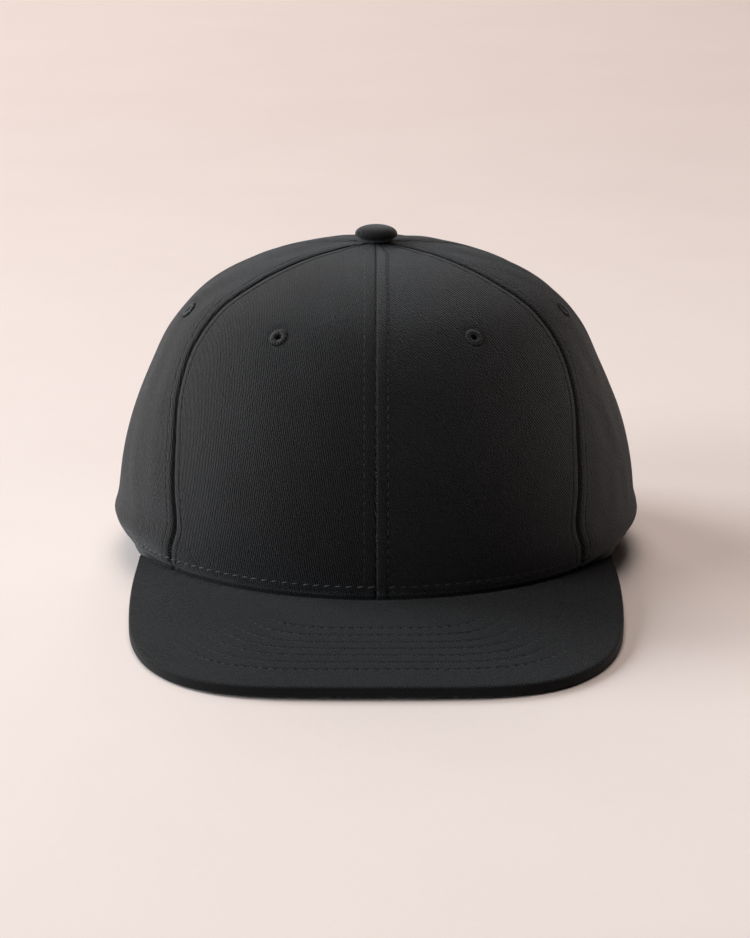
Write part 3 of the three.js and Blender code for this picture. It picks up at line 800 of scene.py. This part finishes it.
hem_pile = Pile()
hem_azimuth = np.linspace(0.001, math.pi - (ARCH_HALF_WIDTH + 1.5) / CROWN_BACK_REACH, 500)
hem_levels = level_at(hem_stitch_height(hem_azimuth), hem_azimuth)
normals = crown_normal(hem_azimuth, hem_levels)
path = crown_point(hem_azimuth, hem_levels) - normals * THREAD_SINK
for mirror, slant, radius in ((False, 0.34, 0.17), (True, -0.34, 0.25)):
    stitch_row(hem_pile, path, normals, radius, 2.6, HEM_STITCH_PITCH, slant, mirror)
hem_pile.build("hem_stitches", lit_hem_thread, "eyelet_thread")

arch_pile = Pile()
turn = np.linspace(0.03, math.pi / 2, 160)
wide = ARCH_HALF_WIDTH + SEAM_STITCH_OFFSET
tall = ARCH_HEIGHT + SEAM_STITCH_OFFSET
row_height = tall * np.sin(turn)
row_level = level_at(row_height, math.pi)
row_azimuth = math.pi - np.arcsin(wide * np.cos(turn) / (CROWN_HALF_WIDTH * along(SIDE, row_level)))
above_hem = row_height > HEM_STITCH_BACK
normals = crown_normal(row_azimuth, row_level)[above_hem]
path = crown_point(row_azimuth, row_level)[above_hem] - normals * THREAD_SINK
for mirror in BOTH:
    stitch_row(arch_pile, path, normals, mirror=mirror)
arch_pile.build("opening_stitches", black_thread, "eyelet_thread")


# Brim


def beside_crown(azimuth, height):
    level = level_at(height, azimuth)
    return crown_point(azimuth, level) + crown_normal(azimuth, 0) * BRIM_GAP


brim_corner = beside_crown(BRIM_END, 0.0)
brim_front = beside_crown(0.0, 0.0)
BRIM_HALF = brim_corner[0] + BRIM_HORN_WIDTH
BRIM_DEPTH = brim_corner[1] - (brim_front[1] - BRIM_LENGTH)


def brim_outline(share):
    place = 1 - np.abs(share)
    across = along(BRIM_ACROSS, place)
    forward = along(BRIM_FORWARD, place)
    sag = np.maximum(0, 1 - forward / BRIM_TOUCH_FORWARD)
    arch = np.maximum(0, 1 - (across / BRIM_TOUCH_ACROSS) ** 2)
    x = np.sign(share) * across * BRIM_HALF
    y = brim_corner[1] - forward * BRIM_DEPTH
    return np.stack((x, y, brim_corner[2] * sag**2 + BRIM_ARCH * arch), -1)


OUTLINE_PLACES = np.linspace(0, 1, 800)
OUTLINE_FORWARD = np.maximum.accumulate(along(BRIM_FORWARD, OUTLINE_PLACES))
OUTLINE_ACROSS = along(BRIM_ACROSS, OUTLINE_PLACES)


def row_inset(depth):
    """How far a row that lies this far behind the front edge keeps from the side edge."""
    return np.interp(depth, (0, 13.9, 35.3, 69), (0, 9.8, 28.2, 60))


def row_depth(x, y):
    """The depth of the row through a point: 0 on the outline, more towards the crown."""
    low, high = np.zeros_like(x), np.full_like(x, 69.0)
    for _ in range(30):
        middle = (low + high) / 2
        forward = (brim_corner[1] - y) / (BRIM_DEPTH - middle)
        limit = np.interp(forward, OUTLINE_FORWARD, OUTLINE_ACROSS, right=-1)
        inside = np.abs(x) / (BRIM_HALF - row_inset(middle)) < limit
        low, high = np.where(inside, middle, low), np.where(inside, high, middle)
    return (low + high) / 2


BRIM_COLUMNS = 361
row_steps = np.array([-1.3, -0.8, -0.45, -0.2, 0, 0.2, 0.45, 0.8, 1.3])
FIRST_DEPTHS = [1.2, 2, 3.5, 5.5, 8, 10.5]
LAST_DEPTHS = [49.5, 52, 55, 58, 61, 64, 66, 67, 67.8, 68.4, 69, 70]
DEPTHS = np.unique(np.concatenate((FIRST_DEPTHS, *[k + row_steps for k in BRIM_ROWS], LAST_DEPTHS)))
shares = np.linspace(-1, 1, BRIM_COLUMNS)
brim_azimuth = shares * BRIM_END
inner_low, inner_high = beside_crown(brim_azimuth, 0.0), beside_crown(brim_azimuth, BRIM_THICKNESS)
outline = brim_outline(shares)
samples = np.linspace(0, 1, 240)
section = outline[:, None, :2] + (inner_low[:, None, :2] - outline[:, None, :2]) * samples[None, :, None]
section_depth = np.maximum.accumulate(row_depth(section[..., 0], section[..., 1]), axis=1)
section_depth[:, 0] = 0


def along_sections(depth):
    """For each column, the share of the way from the edge to the crown where a row lies, at most 1."""
    return np.array([np.interp(depth, section_depth[j], samples) for j in range(BRIM_COLUMNS)])


def brim_face(share, top):
    lift = BRIM_THICKNESS if top else 0
    edge = outline + (0, 0, lift)
    inner = inner_high if top else inner_low
    face = edge + (inner - edge) * share[:, None]
    if top:
        to_crown = np.linalg.norm(face - inner, axis=1)
        face[:, 2] -= BRIM_DROP * hump(to_crown, BRIM_DROP_WIDTH)
    return face


def groove_window(run):
    """1 along each stitch, less between two stitches."""
    phase = (run / STITCH_PITCH) % 1
    return 0.12 + 0.88 * np.exp(-(((phase - 0.47) / 0.34) ** 6))


brim_runs = {}
brim_fades = {}
for row in BRIM_ROWS:
    line = brim_face(along_sections(row), True)
    brim_runs[row] = run_along(line)
    pace = np.linalg.norm(np.gradient(line, axis=0), axis=1) + 1e-9
    towards_crown = np.abs(np.gradient(line[:, 1])) / pace
    brim_fades[row] = 1 - eased((towards_crown - 0.5) / 0.42)


def brim_relief(depth):
    """How far the brim's cloth lies below its smooth face, for each column."""
    relief = np.zeros(BRIM_COLUMNS)
    for row in BRIM_ROWS:
        if abs(depth - row) < 2:
            strength = mix(*GROOVE_DEPTHS, brim_fades[row])
            across = math.exp(-(((depth - row) / GROOVE_WIDTH) ** 2))
            relief += strength * across * groove_window(brim_runs[row])
    return relief


def cloth_loop(depth, top):
    """Points of the brim's cloth along a row, sunk where it is stitched."""
    share = along_sections(depth)
    raised = (-1 if top else 0.6) * brim_relief(depth) * eased((1 - share) * 18)
    return brim_face(share, top) + np.outer(raised, (0, 0, 1))


def edge_loop(turn, top):
    """Points of the brim's rounded edge."""
    drop = BRIM_ROUND * (1 - math.sin(turn))
    face = brim_face(along_sections(BRIM_ROUND * (1 - math.cos(turn))), top)
    return face + (0, 0, -drop if top else drop)


edge_turns = np.radians([90, 72, 54, 36, 18, 0])
loops = [cloth_loop(depth, True) for depth in DEPTHS[::-1]]
loops += [edge_loop(turn, True) for turn in edge_turns]
loops += [edge_loop(turn, False) for turn in edge_turns[::-1]]
loops += [cloth_loop(depth, False) for depth in DEPTHS]
loops = np.array(loops)
count = len(loops)
index = np.arange(count * BRIM_COLUMNS).reshape(count, BRIM_COLUMNS)
nxt = np.roll(index, -1, axis=0)
sides = np.stack((index[:, :-1], nxt[:, :-1], nxt[:, 1:], index[:, 1:]), -1).reshape(-1, 4)
upper = np.arange(count // 2 - 1)
lower = count - 1 - upper
right_end = np.stack((index[upper, 0], index[lower, 0], index[lower - 1, 0], index[upper + 1, 0]), -1)
left_end = np.stack((index[upper, -1], index[upper + 1, -1], index[lower - 1, -1], index[lower, -1]), -1)
faces = np.concatenate((sides, right_end, left_end))
points = loops.reshape(-1, 3)
outline_run = np.gradient(outline[:, :2], axis=0)
outwards = unit(np.stack((outline_run[:, 1], -outline_run[:, 0]), -1))
run_down = np.concatenate(
    (
        np.zeros(len(DEPTHS)),
        BRIM_ROUND * (math.pi / 2 - edge_turns),
        BRIM_ROUND * edge_turns[::-1] + BRIM_THICKNESS - 2 * BRIM_ROUND + BRIM_ROUND * math.pi / 2,
        np.full(len(DEPTHS), BRIM_THICKNESS + BRIM_ROUND),
    )
)
brim_uv = turned((loops[..., :2] + run_down[:, None, None] * outwards).reshape(-1, 2), 120)
brim = build("brim_cloth", points, faces, brim_twill, brim_uv, math.radians(50), joined=True)
brim.data.materials.append(brim_edge_twill)
facing = np.empty(len(brim.data.polygons) * 3, np.float32)
brim.data.polygons.foreach_get("normal", facing)
on_edge = np.abs(facing.reshape(-1, 3)[:, 2]) < 0.6
brim.data.polygons.foreach_set("material_index", on_edge.astype(np.int32))
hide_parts("brim")

brim_pile = Pile()
for row in BRIM_ROWS:
    share = along_sections(row)
    free = share < 0.97
    for top in (True, False):
        line = brim_face(share, top)
        normals = np.tile((0, 0, 1.0 if top else -1.0), (len(line), 1))
        line = line - normals * mix(0.29, 0.3, brim_fades[row])[:, None]
        stitch_row(brim_pile, line[free], normals[free], radius=0.17, length=2.5)
brim_pile.build("brim_stitches", shaded_brim_thread, "eyelet_thread")


# Button and eyelets


def lathe(profile, sides):
    """Points and faces of a body turned about +Z from (radius, height) pairs."""
    turn = np.arange(sides) * math.tau / sides
    profile = np.asarray(profile, float)
    ring = np.stack((np.cos(turn), np.sin(turn)), -1)
    heights = np.broadcast_to(profile[:, None, 1:], (len(profile), sides, 1))
    points = np.concatenate((profile[:, None, :1] * ring[None], heights), -1)
    index = np.arange(len(profile) * sides).reshape(len(profile), sides)
    around = np.roll(index, -1, axis=1)
    faces = np.stack((index[:-1], around[:-1], around[1:], index[1:]), -1).reshape(-1, 4)
    return points.reshape(-1, 3), faces


def standing_axes(out):
    """Axes of a small body on the crown: level, up and outwards."""
    level_axis = unit(np.cross((0, 0, 1.0), out))
    return np.stack((level_axis, np.cross(out, level_axis), out))


BUTTON_RADIUS = 7.65
BUTTON_HEIGHT = 5.9
BUTTON_MIDDLE = 2.75
base = CROWN_HEIGHT + 0.3
plate_low, plate_high = CROWN_HEIGHT - 2.9, CROWN_HEIGHT - 2.1
dome = [(0, plate_low), (4.2, plate_low), (4.2, plate_high), (1.6, plate_high)]
dome += [(1.6, base + 0.25), (4.6, base + 0.2)]
for turn in np.radians(np.linspace(-64, 90, 38)):
    lift = math.sin(turn)
    reach = BUTTON_HEIGHT - BUTTON_MIDDLE if lift > 0 else BUTTON_MIDDLE
    dome.append((BUTTON_RADIUS * max(0, math.cos(turn)) ** 0.86, base + BUTTON_MIDDLE + reach * lift))
points, faces = lathe(dome, 96)
turns = np.arctan2(points[:, 1], points[:, 0])
radius = np.hypot(points[:, 0], points[:, 1])
rise = points[:, 2] - base
pleats = 0.05 * np.sin(turns * 17 + 0.6) + 0.05 * np.sin(turns * 11 + 2)
pleats = pleats * hump(rise - 1.2, 1.3) * (radius > 5)
points[:, :2] *= (1 + pleats / BUTTON_RADIUS)[:, None]
button_uv = turned(np.stack((points[:, 0], points[:, 1] - 1.2 * rise), -1), 120)
button = build("button_cloth", points, faces, button_twill, button_uv, joined=True)
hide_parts("crown_button")

HOLE_RADIUS = 1.15
EYELET_SEATS = {"front": 0.2, "side": 0.4, "back": 0.3}
RING = (
    (HOLE_RADIUS, -2.85), (2.3, -2.85), (3.0, -2.5), (3.1, -2.15), (2.05, -2.1), (2.05, -0.35),
    (3.0, -0.35), (3.05, 0.05), (2.6, 0.32), (2.0, 0.4), (1.45, 0.28), (HOLE_RADIUS, -0.1),
    (HOLE_RADIUS, -2.85),
)
RAY = ((1.18, -1.1), (1.22, -0.15), (1.45, 0.3), (1.9, 0.5), (2.45, 0.46), (2.9, 0.24), (3.14, -0.06))
RAY_WIDTHS = (0.18, 0.22, 0.27, 0.34, 0.42, 0.46, 0.3)
UNDER_RAY = ((1.18, -1.6), (1.25, -2.5), (1.7, -2.85), (2.4, -2.85), (3.0, -2.55), (3.3, -2.15))
UNDER_WIDTHS = (0.16, 0.2, 0.26, 0.33, 0.36, 0.24)
RAY_COUNT = 17

for place, vent_azimuth, vent_level in EYELETS:
    centre = crown_point(math.radians(vent_azimuth), vent_level)
    out = crown_normal(math.radians(vent_azimuth), vent_level)
    for side in (1, -1):
        pile = Pile()
        ring_points, ring_faces = lathe(RING, 40)
        pile.add(ring_points, ring_faces.tolist())
        for k in range(RAY_COUNT):
            turn = math.tau * (k + rng.uniform(-0.13, 0.13)) / RAY_COUNT
            for ray, widths in ((RAY, RAY_WIDTHS), (UNDER_RAY, UNDER_WIDTHS)):
                ray = np.array(ray)
                reach = 1 + rng.uniform(-0.03, 0.035) * np.linspace(0, 1, len(ray))
                spread = ray[:, 0] * reach
                path = np.stack((spread * math.cos(turn), spread * math.sin(turn), ray[:, 1]), -1)
                tangent = np.array((-math.sin(turn), math.cos(turn), 0.0))
                pile.add(*tube(path, np.tile(tangent, (len(path), 1)), widths, 7))
        seated = np.concatenate(pile.points) @ standing_axes(out) + centre - out * EYELET_SEATS[place]
        ready = Pile()
        ready.add(seated, pile.faces, side < 0)
        name = f"eyelet_{place}_{SIDE_NAMES[side]}"
        made = ready.build(f"{name}_thread", eyelet_thread, "eyelet_thread")
        weld(made.data)
        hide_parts(name)


# Sweatband

band_end = math.pi - (STRAP_TUCKED_END + 0.6) / CROWN_HALF_WIDTH
BAND_TOP = 30.0
BAND_WALL = 1.2
band_azimuth = np.linspace(-band_end, band_end, 300)
BAND_ROWS = (3.5, 27.0)
BAND_LOW = [0.6, 0.75, 1, 1.5, 2.3, 3.1, 3.5, 3.9, 4.7]
BAND_HIGH = [26, 26.6, 27, 27.4, 28, 28.8, 29.3, 29.7, 29.9, BAND_TOP]
band_heights = np.concatenate((BAND_LOW, np.linspace(6, 25, 16), BAND_HIGH))
azimuth, height = np.meshgrid(band_azimuth, band_heights)
level = level_at(height, azimuth)
point = crown_point(azimuth, level)
normal = crown_normal(azimuth, level)
to_edge = np.minimum(height - BAND_LOW[0], BAND_TOP - height)
rounded = 0.5 * hump(to_edge, 0.35)
seams = sum(0.16 * hump(height - row, 0.5) for row in BAND_ROWS)
u = runs_across(point)
u = u - u[:, -1:] / 2
slack = 0.35 * (1 + waves(u, height, 5, 60, 21)) * eased((height - 10) / 18)
near_face = UPPER_STRAP_INSET + 0.05 + slack + rounded * 0.8
far_face = UPPER_STRAP_INSET + 0.05 + slack + BAND_WALL - rounded * 0.8 - seams
outer = point - normal * near_face[..., None]
inner = point - normal * far_face[..., None]
band = shell("sweatband_cloth", outer, inner, band_cloth, np.stack((u, height), -1))
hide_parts("sweatband")

band_pile = Pile()
for row in BAND_ROWS:
    k = int(np.argmin(np.abs(band_heights - row)))
    stitch_row(band_pile, inner[k], -normal[k], radius=0.18, length=2.5)
band_pile.build("sweatband_stitches", black_thread, "eyelet_thread")


# Snap straps

strap_rows = 39
strap_columns = 150


def strap_grid():
    """Distances from the back centre and heights from the middle of a strap, with a round free end."""
    distance = np.linspace(0, 1, strap_columns)
    distance = mix(STRAP_FREE_END, STRAP_TUCKED_END, distance**1.06)
    into = np.clip((distance - STRAP_FREE_END) / STRAP_HALF_HEIGHT, 0, 1)
    half = STRAP_HALF_HEIGHT * np.maximum(0.35, np.sqrt(1 - (1 - into) ** 2))
    rows = np.sin(np.linspace(-0.5, 0.5, strap_rows) * math.pi * 0.9) / math.sin(math.pi * 0.45)
    distances = np.broadcast_to(distance, (strap_rows, strap_columns)).copy()
    return distances, rows[:, None] * half[None, :], half


def strap(name, side, inset_of, holes):
    distance, height, half = strap_grid()
    keep = np.ones((strap_rows - 1, strap_columns - 1), bool)
    to_hole = np.full(distance.shape, 9.0)
    if holes:
        for snap in SNAPS:
            middle_d = (distance[1:, 1:] + distance[:-1, :-1]) / 2
            middle_h = (height[1:, 1:] + height[:-1, :-1]) / 2
            gone = np.hypot(middle_d - snap, middle_h) < SNAP_HOLE_RADIUS
            keep &= ~gone
            near = np.pad(gone, 1)
            touched = near[1:, 1:] | near[1:, :-1] | near[:-1, 1:] | near[:-1, :-1]
            reach = np.hypot(distance - snap, height)
            ring = touched & (reach > 0.8)
            distance[ring] = snap + (distance[ring] - snap) * SNAP_HOLE_RADIUS / reach[ring]
            height[ring] = height[ring] * SNAP_HOLE_RADIUS / reach[ring]
            reach = np.hypot(distance - snap, height)
            to_hole = np.minimum(to_hole, reach - SNAP_HOLE_RADIUS)
    azimuth = math.pi - side * distance / CROWN_HALF_WIDTH
    level = level_at(STRAP_MIDDLE + height, azimuth)
    point = crown_point(azimuth, level)
    normal = crown_normal(azimuth, level)
    edge = np.minimum(half[None, :] - np.abs(height), distance - STRAP_FREE_END)
    rounded = 0.38 * hump(edge, 0.3) + 0.22 * hump(np.maximum(to_hole, 0), 0.25)
    rim = 0.22 * hump(edge - 1.15, 0.4) + 0.12 * hump(to_hole - 0.75, 0.35)
    inset = inset_of(distance)
    outer = point - normal * (inset + rounded - rim)[..., None]
    inner = point - normal * (inset + STRAP_THICKNESS - rounded)[..., None]
    if side > 0:
        outer, inner, keep = outer[:, ::-1], inner[:, ::-1], keep[:, ::-1]
        distance, height = distance[:, ::-1], height[:, ::-1]
    return shell(name, outer, inner, strap_plastic, np.stack((distance, height), -1), keep)


strap_upper = strap("strap_holes_plastic", 1, lambda distance: UPPER_STRAP_INSET, True)
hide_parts("snap_strap_holes")


def lower_inset(distance):
    into_step = (distance - STRAP_STEP_START) / STRAP_STEP_LENGTH
    return mix(LOWER_STRAP_INSET, UPPER_STRAP_INSET, eased(into_step))


strap_lower = strap("strap_pegs_plastic", -1, lower_inset, False)
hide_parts("snap_strap_pegs")

PEG = (
    (0, -0.7), (1.7, -0.7), (1.7, 1.9), (2.35, 1.9), (2.55, 2.05), (2.6, 2.25),
    (2.5, 2.5), (2.2, 2.72), (1.7, 2.86), (0.9, 2.9), (0, 2.84),
)
peg_pile = Pile()
peg_points, peg_faces = lathe(PEG, 32)
for snap in SNAPS:
    azimuth = math.pi + snap / CROWN_HALF_WIDTH
    level = level_at(STRAP_MIDDLE, azimuth)
    out = crown_normal(azimuth, level)
    centre = crown_point(azimuth, level) - out * LOWER_STRAP_INSET
    peg_pile.add(peg_points @ standing_axes(out) + centre, peg_faces.tolist())
pegs = peg_pile.build("strap_pegs", strap_plastic, "strap_plastic")
weld(pegs.data)


# Floor, light and camera

# The floor's colour darkens towards the back: painted shade for the light's fall-off.
FAR_PAINTED_SHADE = (
    (0.0, (1, 1, 1)),
    (0.25, (0.93, 0.925, 0.92)),
    (0.7, (0.83, 0.81, 0.8)),
    (1.0, (0.8, 0.77, 0.76)),
)
floor_mesh = bpy.data.meshes.new("floor")
floor_mesh.from_pydata([(-8, -6, 0), (8, -6, 0), (8, 10, 0), (-8, 10, 0)], [], [(0, 1, 2, 3)])
floor = new_object("floor", floor_mesh)
material, tree, output = new_material("pale_paper")
spot = make(tree, "ShaderNodeTexCoord").outputs["Object"]
cloud = noise(tree, spot, 9.0, 4.0, 0.6)
fibre = noise(tree, spot, 420.0, 3.0, 0.6)
tone = times(tree, fibre, 0.35, times(tree, cloud, 0.65))
pale = ramp(tree, tone, ((0.3, (0.905, 0.8, 0.76)), (0.7, (0.94, 0.842, 0.8))))
# The paper's colour is multiplied by painted shade that deepens towards the back.
distance = make(tree, "ShaderNodeSeparateXYZ", {"Vector": spot}).outputs["Y"]
paper = mixed(tree, 1.0, pale, ramp(tree, distance, FAR_PAINTED_SHADE), blend_type="MULTIPLY")
paper_bump = bumped(tree, tone, 0.2 * MM, 0.2)
finish_material(tree, output, paper, paper_bump, {"Roughness": 0.85, "Specular IOR Level": 0.2})
floor_mesh.materials.append(material)

world = bpy.data.worlds.new("studio")
world.use_nodes = True
background = world.node_tree.nodes["Background"]
background.inputs["Color"].default_value = (1.0, 0.85, 0.78, 1)
background.inputs["Strength"].default_value = 0.03
bpy.context.scene.world = world


def area_light(name, place, target, size, power, colour):
    light = bpy.data.lights.new(name, "AREA")
    light.shape = "RECTANGLE"
    light.size, light.size_y = size
    light.energy = power
    light.color = colour
    made = new_object(name, light)
    made.location = place
    made.rotation_euler = (Vector(target) - Vector(place)).to_track_quat("-Z", "Y").to_euler()


COOL = (0.9, 0.96, 1.0)
WARM = (1.0, 0.9, 0.84)
area_light("key", (-2.25, 0.98, 1.5), (0, 0.02, 0.05), (1.6, 1.6), 63, COOL)
area_light("side", (-2.38, -1.12, 0.98), (0, 0.0, 0.05), (1.5, 1.5), 40, COOL)
area_light("overhead", (0, 0.04, 2.8), (0, 0.04, 0), (1.6, 1.6), 29, WARM)
area_light("rear", (-0.2, 2.3, 1.55), (0, 0.05, 0), (1.6, 1.2), 21, WARM)

CAMERA_PLACE = (-0.00042, -1.153, 0.3625)
CAMERA_TILT = 0.2818
camera = bpy.data.cameras.new("camera")
camera.sensor_width = 36
camera.lens = 124.84
camera.clip_end = 30
eye = new_object("camera", camera)
eye.location = (CAMERA_PLACE[0], CAMERA_PLACE[1] + AXIS[1] * MM, CAMERA_PLACE[2])
eye.rotation_euler = (math.pi / 2 - CAMERA_TILT, 0, 0)
bpy.context.scene.camera = eye
bpy.context.scene.view_settings.view_transform = "Standard"
